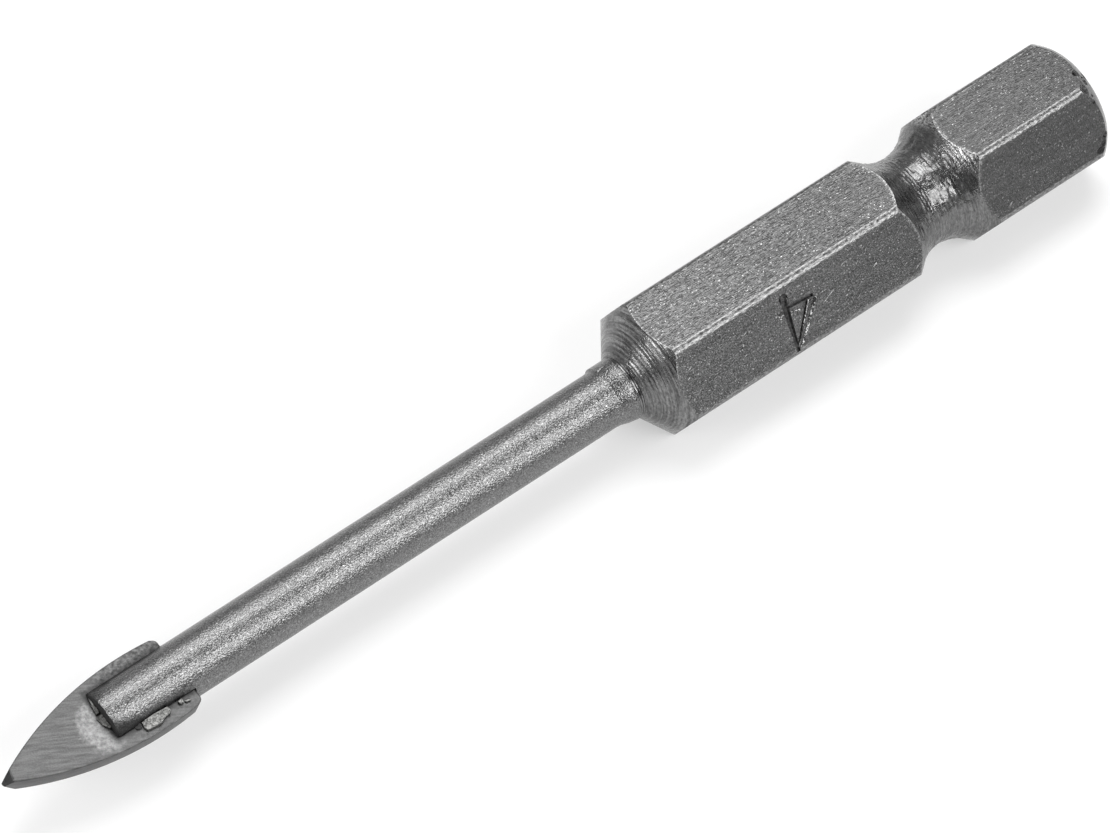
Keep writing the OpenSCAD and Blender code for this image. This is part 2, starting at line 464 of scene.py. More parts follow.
def side_width(z):
    return math.sqrt(SIDE_RADIUS ** 2 - (z - WIDEST_AT) ** 2) - SIDE_RADIUS + HALF_WIDTH


inner = side_width(BLADE_REAR) - REAR_CORNER
corner = [math.radians(90 * k / CORNER_STEPS) for k in range(CORNER_STEPS)]
side = [(BLADE_REAR + REAR_CORNER * (1 - math.cos(a)), inner + REAR_CORNER * math.sin(a)) for a in corner]
arc_length = WIDEST_AT + SIDE_LENGTH - BLADE_REAR - REAR_CORNER
arc = [BLADE_REAR + REAR_CORNER + arc_length * k / ARC_STEPS for k in range(ARC_STEPS)]
side += [(z, side_width(z)) for z in arc]
outline = [(-z, w, -PLATE / 2) for z, w in side] + [(-WIDEST_AT - SIDE_LENGTH, 0, -PLATE / 2)]
outline += [(-z, -w, -PLATE / 2) for z, w in reversed(side)]
print("blade outline:", len(outline), "points, arcs of", round(SIDE_RADIUS, 2), "mm")

# %% Fill, extrude and grind
POINT_SKEW = math.radians(-18)
POINT_LEAN = math.radians(50)
EDGE_ROUND = 0.08
blade = extruded("carbide_blade", outline, PLATE)
for vertex in blade.data.vertices:
    vertex.co.y -= vertex.co.z * RELIEF
for turn in (0, math.pi):
    skew = POINT_SKEW + turn
    across = math.cos(POINT_LEAN)
    outward = Vector((-math.sin(POINT_LEAN), -across * math.sin(skew), across * math.cos(skew)))
    only(blade)
    bpy.ops.object.mode_set(mode="EDIT")
    bpy.ops.mesh.select_all(action="SELECT")
    bpy.ops.mesh.bisect(plane_co=(-POINT_AT, 0, 0), plane_no=outward, use_fill=True, clear_outer=True)
    bpy.ops.object.mode_set(mode="OBJECT")
clean_shell(blade)
apply_modifier(blade, "BEVEL", width=EDGE_ROUND, segments=4, limit_method="ANGLE",
               angle_limit=math.radians(35))
blade.rotation_euler.x = BLADE_TURN
apply_place(blade)
to_metres(blade)
bpy.ops.object.shade_smooth_by_angle(angle=math.radians(30))
apply_modifier(blade, "WEIGHTED_NORMAL", weight=100, keep_sharp=True)

# %% [markdown]
# ## The braze
# Molten filler was drawn into the slot round the blade, and some of it froze outside: a cracked bead
# across the end of each cheek, and flakes in the corner between blade and cheek. Each lump is an outline
# on the blade's face that is filled and extruded. A voxel Remesh then gives it an even skin of small
# faces, which a Displace modifier can make as grainy as frozen metal is.

# %% The filler in the slot
FACE = PLATE / 2
CHEEK_HALF = math.sqrt(SHAFT_R ** 2 - (SLOT_WIDTH / 2) ** 2)
start_fresh()
bpy.ops.mesh.primitive_cube_add(size=1)
filler = bpy.context.object
filler.name = "braze_filler"
# It stays a hair inside the slot, so that no face of it lies in a face of the steel.
filler.scale = (SHAFT_END - BLADE_REAR + 0.05, 2 * CHEEK_HALF - 0.12, SLOT_WIDTH - 0.002)
filler.location.x = -(SHAFT_END + BLADE_REAR - BRAZE_GAP) / 2
apply_place(filler)
boolean(filler, slot_block(-BLADE_REAR, PLATE), "DIFFERENCE")
print("filler in the slot:", len(filler.data.polygons), "faces")


# %% One lump of frozen filler
def lump(outline, height, front_height, grain=0.22, depth=0.08):
    """A lump on the blade's upper face; its top falls from its rear height to its front height."""
    piece = extruded("lump", [(x, y, FACE - 0.03) for x, y in outline], 0.1)
    rear, front = max(x for x, y in outline), min(x for x, y in outline)
    for vertex in piece.data.vertices:
        if vertex.co.z > FACE:
            share = (vertex.co.x - front) / (rear - front)
            vertex.co.z = FACE + front_height + (height - front_height) * share
    apply_modifier(piece, "REMESH", mode="VOXEL", voxel_size=0.022)
    roughen(piece, grain, depth, lambda vertex: vertex.co.z > FACE - 0.01)
    return piece


# %% Bead, flakes and crumbs
# Outlines are along and across the blade; each lump then gets its rear and its front height.
BEAD_UPPER = [(-57.17, 1.00), (-57.17, 0.18), (-57.36, 0.16), (-57.30, 0.62), (-57.20, 0.98)]
BEAD_LOWER = [(-57.17, 0.05), (-57.17, -0.72), (-57.26, -0.70), (-57.40, -0.44), (-57.46, 0.04)]
FLAKE = [(-55.93, -1.28), (-55.98, -1.55), (-55.90, -1.76), (-55.62, -1.79), (-55.22, -1.84),
         (-54.92, -1.70), (-54.56, -1.64), (-54.46, -1.52), (-54.52, -1.32), (-55.0, -1.26)]
CRUMB = [(-53.98, -1.34), (-53.96, -1.55), (-53.78, -1.56), (-53.76, -1.34)]
SMALL_CRUMB = [(-53.70, -1.50), (-53.68, -1.60), (-53.42, -1.64), (-53.44, -1.54)]
# The clot is black flux put in the shaded corner beside the flake: painted shade.
FLUX_CLOT_AS_SHADE = [(-56.30, -1.24), (-56.28, -1.40), (-56.14, -1.50), (-55.99, -1.44), (-55.96, -1.26)]
lumps = [lump(BEAD_UPPER, 0.22, 0.13), lump(BEAD_LOWER, 0.22, 0.12), lump(FLAKE, 0.17, 0.15),
         lump(CRUMB, 0.16, 0.14), lump(SMALL_CRUMB, 0.09, 0.09), lump(FLUX_CLOT_AS_SHADE, 0.10, 0.06)]
print("lumps:", [len(piece.data.polygons) for piece in lumps], "faces")

# %% The same lumps on the other face, and all of it as one piece
only(lumps[0])
for piece in lumps:
    piece.select_set(True)
bpy.ops.object.join()
face_lumps = bpy.context.object
bpy.ops.object.duplicate()
back_lumps = bpy.context.object
back_lumps.rotation_euler.x = math.pi
apply_place(back_lumps)
only(filler)
face_lumps.select_set(True)
back_lumps.select_set(True)
bpy.ops.object.join()
filler.rotation_euler.x = BLADE_TURN
apply_place(filler)
to_metres(filler)
bpy.ops.object.shade_smooth_by_angle(angle=math.radians(40))

# %% [markdown]
# ## Materials
# Every finish is built from nodes that read Object coordinates, which on these pieces are metres in the
# frame of the bit. One function adds a node with its settings and its links. Mapping nodes are of the
# texture type: their scale stretches a pattern, and their turn turns it. Inputs go by name or number: on
# Map Range 0 is the value, 1 and 2 its old range and 3 and 4 its new one; on Mix 0 is the share, 2 and 3
# are numbers and 6 and 7 colours.

# %% Helpers for materials
def linear(hex_colour):
    """An sRGB hex value as linear RGBA."""
    parts = [int(hex_colour[k:k + 2], 16) / 255 for k in (0, 2, 4)]
    return [c / 12.92 if c <= 0.04045 else ((c + 0.055) / 1.055) ** 2.4 for c in parts] + [1.0]


def add(tree, kind, inputs=None, **settings):
    """Add one node. An input is a value, an output, or a node whose first live output is meant."""
    node = tree.nodes.new("ShaderNode" + kind)
    for key, value in settings.items():
        setattr(node, key, value)
    for key, value in (inputs or {}).items():
        if isinstance(value, bpy.types.Node):
            value = next(output for output in value.outputs if output.enabled)
        if isinstance(value, bpy.types.NodeSocket):
            tree.links.new(value, node.inputs[key])
        else:
            node.inputs[key].default_value = value
    return node


def new_material(name):
    """A material with only an output node, and its Object coordinates."""
    material = bpy.data.materials.new(name)
    material.use_nodes = True
    tree = material.node_tree
    tree.nodes.clear()
    return material, tree, add(tree, "TexCoord").outputs["Object"]


def per_mm(size):
    """Noise scale, in Object coordinates, for marks of about this size in millimetres."""
    return 1 / (size * MM)


def close_finish(tree, tone, roughness, normal, metallic=1.0):
    """Close a finish with its shader. A metal has no colour under its gloss: its tone is its reflection."""
    look = {"Base Color": tone, "Metallic": metallic, "Roughness": roughness, "Normal": normal}
    shader = add(tree, "BsdfPrincipled", look)
    add(tree, "OutputMaterial", {"Surface": shader})
    print("finish of", len(tree.nodes), "nodes")


def distance_from_axis(tree, place):
    across = add(tree, "VectorMath", {0: place, 1: (0, 1, 1)}, operation="MULTIPLY")
    return add(tree, "VectorMath", {0: across}, operation="LENGTH")


def give_finish(piece, material, test):
    """Put a material in a new slot, on the faces that pass a test of place and normal."""
    only(piece)
    bpy.ops.object.material_slot_add()
    piece.material_slots[-1].material = material
    edit_selected(piece, "FACE", piece.data.polygons, lambda face: test(face.center / MM, face.normal))
    piece.active_material_index = len(piece.material_slots) - 1
    bpy.ops.object.material_slot_assign()
    bpy.ops.object.mode_set(mode="OBJECT")
    print(material.name, "on", sum(face.select for face in piece.data.polygons), "faces of", piece.name)


# %% [markdown]
# ### Drawn bar
# The flats are cold-drawn bar, left dull after hardening: dark grey with a fine sparkle, calmer towards the
# rear, and long faint lines from the drawing die. On the top flat the sparkle too is stretched along the
# bar. Painted light and shade make the flats lighter towards the front and darker towards the rear, the
# top flat more so than the sides. The burrs where the flats end at the cone and the groove have rubbed
# bright, and a painted highlight makes them brighter high up and on the near side. Those places have a
# simple description, their distance from the axis compared with that of the turned surface, so they are
# a mask worked out by nodes.

# %% Drawn bar steel
drawn_steel, tree, place = new_material("drawn_bar_steel")
sides = add(tree, "SeparateXYZ", {0: place})
along = sides.outputs["X"]
calm = add(tree, "MapRange", {0: along, 1: -17 * MM, 2: -7 * MM, 3: 1.0, 4: 0.7})
on_top = add(tree, "MapRange", {0: sides.outputs["Z"], 1: 3.0 * MM, 2: 3.15 * MM})
less_on_sides = add(tree, "MapRange", {0: on_top, 3: 0.8, 4: 1.0})
calm = add(tree, "Math", {0: calm, 1: less_on_sides}, operation="MULTIPLY")
pulled = add(tree, "Mapping", {"Vector": place, "Scale": (4, 1, 1)}, vector_type="TEXTURE")
pulled = add(tree, "TexNoise", {"Vector": pulled, "Scale": per_mm(0.056), "Detail": 1.5, "Roughness": 0.6})
even = add(tree, "TexNoise", {"Vector": place, "Scale": per_mm(0.075), "Detail": 1.5, "Roughness": 0.6})
most_on_top = add(tree, "MapRange", {0: on_top, 4: 0.7})
grain = add(tree, "Mix", {0: most_on_top, 2: even, 3: pulled})
grain = add(tree, "Mix", {0: calm, 2: 0.5, 3: grain})
drawn = add(tree, "Mapping", {"Vector": place, "Scale": (40, 1, 1)}, vector_type="TEXTURE")
lines = add(tree, "TexNoise", {"Vector": drawn, "Scale": per_mm(0.14), "Detail": 2.0})
sparkle = add(tree, "MapRange", {0: grain, 1: 0.34, 2: 0.66})
tone = add(tree, "Mix", {0: sparkle, 6: linear("3e3e3e"), 7: linear("767676")}, data_type="RGBA")
line_tone = add(tree, "MapRange", {0: lines, 1: 0.3, 2: 0.7, 3: 0.86, 4: 1.14})
# Painted light and shade: the flats are lighter towards the front and darker towards the rear, the top flat
# more so than the sides.
front_painted_light = add(tree, "MapRange", {0: on_top, 3: 1.12, 4: 1.20})
rear_painted_shade = add(tree, "MapRange", {0: on_top, 3: 0.84, 4: 0.68})
painted_light_along_bar = add(tree, "MapRange", {0: along, 1: -HEX_LENGTH * MM, 2: 0, 3: front_painted_light, 4: rear_painted_shade})
for shade in (line_tone, painted_light_along_bar):
    tone = add(tree, "Mix", {0: 1.0, 6: tone, 7: shade}, data_type="RGBA", blend_type="MULTIPLY")

# %% Where the bar is rubbed bright, with a painted highlight
WALL_SLOPE = math.tan(GROOVE_WALL)
CONE_AT_END = (CORNER_R + SHOULDER_SLOPE * HEX_LENGTH) * MM
WALL_AT_MIDDLE = (groove_radius(GROOVE_AT + 2) - 2 * WALL_SLOPE) * MM
from_axis = distance_from_axis(tree, place)
to_cone = add(tree, "Math", {0: along, 1: SHOULDER_SLOPE, 2: CONE_AT_END}, operation="MULTIPLY_ADD")
away = add(tree, "Math", {0: along, 1: GROOVE_AT * MM}, operation="ADD")
away = add(tree, "Math", {0: away}, operation="ABSOLUTE")
to_groove = add(tree, "Math", {0: away, 1: WALL_SLOPE, 2: WALL_AT_MIDDLE}, operation="MULTIPLY_ADD")
edge = add(tree, "Math", {0: to_cone, 1: to_groove}, operation="MINIMUM")
edge = add(tree, "Math", {0: edge, 1: from_axis}, operation="SUBTRACT")
ragged = add(tree, "TexNoise", {"Vector": place, "Scale": per_mm(0.13), "Detail": 2.0})
edge = add(tree, "Math", {0: ragged, 1: 0.24 * MM, 2: edge}, operation="MULTIPLY_ADD")
burr = add(tree, "MapRange", {0: edge, 1: 0.13 * MM, 2: 0.26 * MM, 3: 1.0, 4: 0.0},
           interpolation_type="SMOOTHSTEP")
beads = add(tree, "MapRange", {0: even, 1: 0.42, 2: 0.60, 3: 0.1, 4: 1.0})
# Painted highlight: the rubbed burr is made brighter high up and on the near side.
highlight_near = add(tree, "MapRange", {0: sides.outputs["Y"], 1: -1.0 * MM, 2: 1.8 * MM, 3: 1.0, 4: 0.4})
highlight_above = add(tree, "MapRange", {0: sides.outputs["Z"], 1: 0.8 * MM, 2: 3 * MM, 3: 0.1, 4: 1.0})
rubbed_with_highlight = burr
for share in (beads, highlight_above, highlight_near):
    rubbed_with_highlight = add(tree, "Math", {0: rubbed_with_highlight, 1: share}, operation="MULTIPLY")
tone = add(tree, "Mix", {0: rubbed_with_highlight, 6: tone, 7: linear("bcbcbc")}, data_type="RGBA")

# %% Scratches and specks
# Knocks in a tool box leave short bright scratches, about 0.3 mm long, and specks of a tenth of that.
scratch_way = add(tree, "Mapping", {"Vector": place, "Rotation": (0, math.radians(-21.5), math.radians(13)),
                                    "Scale": (6, 1, 1)}, vector_type="TEXTURE")
scratch = add(tree, "TexNoise", {"Vector": scratch_way, "Scale": per_mm(0.08), "Detail": 0.0})
scratch = add(tree, "MapRange", {0: scratch, 1: 0.83, 2: 0.86})
speck = add(tree, "TexNoise", {"Vector": place, "Scale": per_mm(0.075), "Detail": 0.0})
speck = add(tree, "MapRange", {0: speck, 1: 0.75, 2: 0.83})
bright = add(tree, "Math", {0: scratch, 1: speck}, operation="MAXIMUM")
bright = add(tree, "Math", {0: bright, 1: calm}, operation="MULTIPLY")
tone = add(tree, "Mix", {0: bright, 6: tone, 7: linear("c0c0c0")}, data_type="RGBA")
gloss = add(tree, "MapRange", {0: grain, 1: 0.3, 2: 0.7, 3: 0.38, 4: 0.28})
bump = add(tree, "Bump", {"Height": grain, "Strength": 1.0, "Distance": 0.042 * MM})
close_finish(tree, tone, gloss, bump)

# %% Corners of the bar
# Rubbed steel: brighter than the flats, and beaded by a fine grain.
corner_steel, tree, place = new_material("rubbed_corner_steel")
drawn = add(tree, "Mapping", {"Vector": place, "Scale": (1.8, 1, 1)}, vector_type="TEXTURE")
lines = add(tree, "TexNoise", {"Vector": drawn, "Scale": per_mm(0.09), "Detail": 1.0})
share = add(tree, "MapRange", {0: lines, 1: 0.3, 2: 0.7})
tone = add(tree, "Mix", {0: share, 6: linear("545454"), 7: linear("949494")}, data_type="RGBA")
bump = add(tree, "Bump", {"Height": lines, "Strength": 1.0, "Distance": 0.02 * MM})
close_finish(tree, tone, 0.34, bump)

# %% Lips of the figure
# Steel that the stamp pushed up and that has rubbed bright since: almost white specks.
lip_steel, tree, place = new_material("burnished_lip_steel")
grain = add(tree, "TexNoise", {"Vector": place, "Scale": per_mm(0.09), "Detail": 1.0})
share = add(tree, "MapRange", {0: grain, 1: 0.49, 2: 0.62})
tone = add(tree, "Mix", {0: share, 6: linear("424242"), 7: linear("e0e0e0")}, data_type="RGBA")
bump = add(tree, "Bump", {"Height": grain, "Strength": 1.0, "Distance": 0.03 * MM})
close_finish(tree, tone, 0.4, bump)

# %% [markdown]
# ### Turned steel
# The cone, the groove and the rounded rear end are straight from the lathe, with fine marks that run
# round the axis. They are stretched across the axis, in Y and Z, so on any turned face they follow its
# turn. The slim shaft was turned and then ground lightly: brighter, with a fine grain that breaks the
# edges of the lamps' reflections into sparks, and slow waves that bend them. Beside the blade it is
# darker, partly from soot and partly as painted shade.

# %% Lathe-cut steel
cut_steel, tree, place = new_material("lathe_cut_steel")
round_marks = add(tree, "Mapping", {"Vector": place, "Scale": (1, 3.5, 3.5)}, vector_type="TEXTURE")
grain = add(tree, "TexNoise", {"Vector": round_marks, "Scale": per_mm(0.06), "Detail": 2.0, "Roughness": 0.6})
patches = add(tree, "TexNoise", {"Vector": place, "Scale": per_mm(0.6), "Detail": 3.0})
ring_marks = add(tree, "Mapping", {"Vector": place, "Scale": (1, 30, 30)}, vector_type="TEXTURE")
rings = add(tree, "TexNoise", {"Vector": ring_marks, "Scale": per_mm(0.07), "Detail": 1.0})
share = add(tree, "MapRange", {0: grain, 1: 0.3, 2: 0.7})
tone = add(tree, "Mix", {0: share, 6: linear("565656"), 7: linear("7e7e7e")}, data_type="RGBA")
sides = add(tree, "SeparateXYZ", {0: place})
along = sides.outputs["X"]
on_cone = add(tree, "MapRange", {0: along, 1: -15 * MM, 2: -22 * MM})
cone_low = add(tree, "MapRange", {0: on_cone, 3: 0.88, 4: 0.62})
cone_peak = add(tree, "MapRange", {0: on_cone, 3: 1.2, 4: 1.4})
ring_tone = add(tree, "MapRange", {0: rings, 1: 0.35, 2: 0.65, 3: cone_low, 4: cone_peak})
rear_wall = add(tree, "MapRange", {0: along, 1: -10 * MM, 2: -9 * MM})
off_end = add(tree, "MapRange", {0: along, 1: -5 * MM, 2: -3 * MM, 3: 1.0, 4: 0.0})
rear_wall = add(tree, "Math", {0: rear_wall, 1: off_end}, operation="MULTIPLY")
# Painted shade: the rear wall of the groove is darker on its far side.
far_side = add(tree, "MapRange", {0: sides.outputs["Y"], 1: -0.2 * MM, 2: 1.0 * MM})
painted_far_shade = add(tree, "Math", {0: rear_wall, 1: far_side}, operation="MULTIPLY")
painted_far_shade = add(tree, "MapRange", {0: painted_far_shade, 3: 1.0, 4: 0.66})
for shade in (ring_tone, painted_far_shade):
    tone = add(tree, "Mix", {0: 1.0, 6: tone, 7: shade}, data_type="RGBA", blend_type="MULTIPLY")

# %% Rubbed rim of the groove, with a painted highlight
from_axis = distance_from_axis(tree, place)
rubbed_with_highlight = add(tree, "MapRange", {0: from_axis, 1: 3.0 * MM, 2: 3.3 * MM}, interpolation_type="SMOOTHSTEP")
# Painted highlight: the rubbed rim shows only on the groove's rear wall, high up.
highlight_on_wall = add(tree, "MapRange", {0: sides.outputs["Z"], 1: 1.2 * MM, 2: 2.8 * MM})
beads = add(tree, "MapRange", {0: grain, 1: 0.4, 2: 0.62})
for share in (rear_wall, highlight_on_wall, beads):
    rubbed_with_highlight = add(tree, "Math", {0: rubbed_with_highlight, 1: share}, operation="MULTIPLY")
tone = add(tree, "Mix", {0: rubbed_with_highlight, 6: tone, 7: linear("b8b8b8")}, data_type="RGBA")
gloss = add(tree, "MapRange", {0: patches, 1: 0.35, 2: 0.65, 3: 0.14, 4: 0.32})
bump = add(tree, "Bump", {"Height": grain, "Strength": 1.0, "Distance": 0.012 * MM})
grit = add(tree, "TexNoise", {"Vector": place, "Scale": per_mm(0.07), "Detail": 1.0})
less_on_cone = add(tree, "MapRange", {0: on_cone, 3: 1.0, 4: 0.6})
grit = add(tree, "Math", {0: grit, 1: less_on_cone}, operation="MULTIPLY")
bump = add(tree, "Bump", {"Height": grit, "Strength": 1.0, "Distance": 0.014 * MM, "Normal": bump})
close_finish(tree, tone, gloss, bump)

# %% Ground shaft steel
shaft_steel, tree, place = new_material("ground_shaft_steel")
grain = add(tree, "TexNoise", {"Vector": place, "Scale": per_mm(0.06), "Detail": 0.0})
waves = add(tree, "TexNoise", {"Vector": place, "Scale": per_mm(0.45), "Detail": 1.0})
share = add(tree, "MapRange", {0: grain, 1: 0.3, 2: 0.7})
tone = add(tree, "Mix", {0: share, 6: linear("5e5e5e"), 7: linear("868686")}, data_type="RGBA")
spark = add(tree, "TexNoise", {"Vector": place, "Scale": per_mm(0.08), "Detail": 0.0})
spark = add(tree, "MapRange", {0: spark, 1: 0.69, 2: 0.83})
tone = add(tree, "Mix", {0: spark, 6: tone, 7: linear("a8a8a8")}, data_type="RGBA")

# %% Soot and painted shade on the shaft beside the blade
BLADE_NORMAL = Vector((0, -math.sin(BLADE_TURN), math.cos(BLADE_TURN)))
over_blade = add(tree, "VectorMath", {0: place, 1: BLADE_NORMAL}, operation="DOT_PRODUCT").outputs["Value"]
over_blade = add(tree, "Math", {0: over_blade}, operation="ABSOLUTE")
over_blade = add(tree, "Math", {0: waves, 1: 0.3 * MM, 2: over_blade}, operation="MULTIPLY_ADD")
along = add(tree, "SeparateXYZ", {0: place}).outputs["X"]
at_end = add(tree, "MapRange", {0: along, 1: -(SHAFT_END - 1.3) * MM, 2: -SHAFT_END * MM, 4: 0.42 * MM})
over_blade = add(tree, "Math", {0: over_blade, 1: at_end}, operation="SUBTRACT")
# Soot and painted shade: the shaft is darker close over the blade's faces, near its end.
soot_and_shade = add(tree, "MapRange", {0: over_blade, 1: (FACE + 0.66) * MM, 2: (FACE + 0.3) * MM},
           interpolation_type="SMOOTHSTEP")
at_seat = add(tree, "MapRange", {0: along, 1: -(BLADE_REAR - 0.3) * MM, 2: -(BLADE_REAR + 1.2) * MM,
                                 4: 0.85})
soot_and_shade = add(tree, "Math", {0: soot_and_shade, 1: at_seat}, operation="MULTIPLY")
tone = add(tree, "Mix", {0: soot_and_shade, 6: tone, 7: linear("303030")}, data_type="RGBA")
bump = add(tree, "Bump", {"Height": waves, "Strength": 1.0, "Distance": 0.012 * MM})
bump = add(tree, "Bump", {"Height": grain, "Strength": 1.0, "Distance": 0.021 * MM, "Normal": bump})
turned = add(tree, "Mapping", {"Vector": place, "Scale": (1, 8, 8)}, vector_type="TEXTURE")
turned = add(tree, "TexNoise", {"Vector": turned, "Scale": per_mm(0.08), "Detail": 1.0})
near_cone = add(tree, "MapRange", {0: along, 1: -36 * MM, 2: -29 * MM, 3: 0.15, 4: 1.0})
turned = add(tree, "Math", {0: turned, 1: near_cone}, operation="MULTIPLY")
bump = add(tree, "Bump", {"Height": turned, "Strength": 1.0, "Distance": 0.012 * MM, "Normal": bump})
close_finish(tree, tone, 0.28, bump)

# %% [markdown]
# ### Dark places
# Oil and scale stay in the strokes of the figure and in the knocks. At the end of the shaft, and in the
# slot, the flux of the brazing has burnt to a black crust, which has no metal's gloss at all. The same
# black also stands as painted shade on the cheeks' end faces and on a clot in the corner beside the flake.

# %% Stamped strokes and knocks
def oily_steel(name, low, high):
    """Dull steel with old oil in it, between two tones."""
    material, tree, place = new_material(name)
    grain = add(tree, "TexNoise", {"Vector": place, "Scale": per_mm(0.12), "Detail": 2.0})
    share = add(tree, "MapRange", {0: grain, 1: 0.3, 2: 0.7})
    tone = add(tree, "Mix", {0: share, 6: linear(low), 7: linear(high)}, data_type="RGBA")
    bump = add(tree, "Bump", {"Height": grain, "Strength": 1.0, "Distance": 0.02 * MM})
    close_finish(tree, tone, 0.5, bump)
    return material


struck_steel = oily_steel("struck_dark_steel", "2c2c2c", "606060")
knocked_steel = oily_steel("knocked_dark_steel", "1c1c1c", "5c5c5c")

# %% Burnt flux, also used as painted shade
flux_with_shade, tree, place = new_material("burnt_flux_with_shade")
grain = add(tree, "TexNoise", {"Vector": place, "Scale": per_mm(0.12), "Detail": 3.0})
tone = add(tree, "Mix", {0: grain, 6: linear("0c0c0c"), 7: linear("3a3a3a")}, data_type="RGBA")
bump = add(tree, "Bump", {"Height": grain, "Strength": 1.0, "Distance": 0.03 * MM})
close_finish(tree, tone, 0.75, bump, metallic=0.0)

# %% [markdown]
# ### Carbide and braze
# Sintered carbide is a darker, harder grey than steel. A coarse wheel left straight lines on its faces,
# about 28 degrees from the axis. In front of the cheeks the filler has wetted it to a pale stain. The
# filler itself is a silver alloy, grainy because it froze before it could flow smooth.

# %% Ground tungsten carbide
carbide, tree, place = new_material("ground_tungsten_carbide")
on_face = add(tree, "Mapping", {"Vector": place, "Rotation": (BLADE_TURN, 0, 0)}, vector_type="TEXTURE")
wheel = add(tree, "Mapping", {"Vector": on_face, "Rotation": (0, 0, math.radians(-28)), "Scale": (8, 1, 1)},
            vector_type="TEXTURE")
grind = add(tree, "TexNoise", {"Vector": wheel, "Scale": per_mm(0.12), "Detail": 2.5})
speck = add(tree, "TexNoise", {"Vector": place, "Scale": per_mm(0.07), "Detail": 1.0})
both = add(tree, "Math", {0: speck, 1: 0.5, 2: grind}, operation="MULTIPLY_ADD")
share = add(tree, "MapRange", {0: both, 1: 0.5, 2: 1.0})
tone = add(tree, "Mix", {0: share, 6: linear("525252"), 7: linear("6a6a6a")}, data_type="RGBA")

# %% The pale stain in front of the cheeks
STAIN_AT = (-57.5 * MM, -0.38 * MM, 0)
stain = add(tree, "Mapping", {"Vector": on_face, "Location": STAIN_AT, "Scale": (1.02 * MM, 1.38 * MM, 10)},
            vector_type="TEXTURE")
stain = add(tree, "VectorMath", {0: stain}, operation="LENGTH")
ragged = add(tree, "TexNoise", {"Vector": place, "Scale": per_mm(0.3), "Detail": 4.0, "Roughness": 0.65})
stain = add(tree, "Math", {0: ragged, 1: 0.7, 2: stain}, operation="MULTIPLY_ADD")
stain = add(tree, "MapRange", {0: stain, 1: 1.45, 2: 1.08}, interpolation_type="SMOOTHSTEP")
flecks = add(tree, "TexNoise", {"Vector": place, "Scale": per_mm(0.18), "Detail": 4.0, "Roughness": 0.65})
flecks = add(tree, "MapRange", {0: flecks, 1: 0.35, 2: 0.65})
pale = add(tree, "Mix", {0: flecks, 6: linear("6c6c6c"), 7: linear("929292")}, data_type="RGBA")
tone = add(tree, "Mix", {0: stain, 6: tone, 7: pale}, data_type="RGBA")

# %% Soot and painted shade close round the cheeks
apart = add(tree, "SeparateXYZ", {0: on_face})
beside = add(tree, "Math", {0: apart.outputs["Y"]}, operation="ABSOLUTE")
beside = add(tree, "Math", {0: beside, 1: CHEEK_HALF * MM}, operation="SUBTRACT")
before = add(tree, "Math", {0: -SHAFT_END * MM, 1: apart.outputs["X"]}, operation="SUBTRACT")
outside = add(tree, "Math", {0: beside, 1: before}, operation="MAXIMUM")
outside = add(tree, "Math", {0: ragged, 1: 0.4 * MM, 2: outside}, operation="MULTIPLY_ADD")
# Soot and painted shade: the blade's face is darker beside the cheeks and just ahead of them.
soot_and_shade = add(tree, "MapRange", {0: outside, 1: 0.56 * MM, 2: 0.24 * MM, 4: 0.85},
           interpolation_type="SMOOTHSTEP")
tone = add(tree, "Mix", {0: soot_and_shade, 6: tone, 7: linear("3c3c3c")}, data_type="RGBA")

# %% Brazing scale on the rear of the blade
# The heat left a mottled skin behind the end of the cheeks, most of it on the far side.
behind = add(tree, "MapRange", {0: apart.outputs["X"], 1: -(SHAFT_END - 0.2) * MM,
                                2: -(SHAFT_END - 0.9) * MM})
most_far = add(tree, "MapRange", {0: apart.outputs["Y"], 1: -0.5 * MM, 2: 1.0 * MM, 3: 0.35, 4: 1.0})
skin = add(tree, "Math", {0: behind, 1: most_far}, operation="MULTIPLY")
mottle = add(tree, "TexNoise", {"Vector": place, "Scale": per_mm(0.16), "Detail": 3.0})
mottle = add(tree, "MapRange", {0: mottle, 1: 0.35, 2: 0.65, 3: 0.55, 4: 1.3})
tone = add(tree, "Mix", {0: skin, 6: tone, 7: mottle}, data_type="RGBA", blend_type="MULTIPLY")
bump = add(tree, "Bump", {"Height": both, "Strength": 1.0, "Distance": 0.008 * MM})
close_finish(tree, tone, 0.46, bump)

# %% Facets of the point
# The same carbide where the point was ground last, painted darker: painted shade on the facets.
shaded_point_carbide, tree, place = new_material("point_carbide_painted_shade")
grind = add(tree, "TexNoise", {"Vector": place, "Scale": per_mm(0.1), "Detail": 2.0})
tone = add(tree, "Mix", {0: grind, 6: linear("2e2e2e"), 7: linear("4e4e4e")}, data_type="RGBA")
bump = add(tree, "Bump", {"Height": grind, "Strength": 1.0, "Distance": 0.008 * MM})
close_finish(tree, tone, 0.46, bump)

# %% Silver braze
braze_alloy, tree, place = new_material("silver_braze")
grain = add(tree, "TexNoise", {"Vector": place, "Scale": per_mm(0.09), "Detail": 2.0})
share = add(tree, "MapRange", {0: grain, 1: 0.3, 2: 0.7})
tone = add(tree, "Mix", {0: share, 6: linear("646463"), 7: linear("8c8c8a")}, data_type="RGBA")
blotches = add(tree, "TexNoise", {"Vector": place, "Scale": per_mm(0.28), "Detail": 1.0})
blotches = add(tree, "MapRange", {0: blotches, 1: 0.35, 2: 0.65, 3: 0.7, 4: 1.15})
along = add(tree, "SeparateXYZ", {0: place}).outputs["X"]
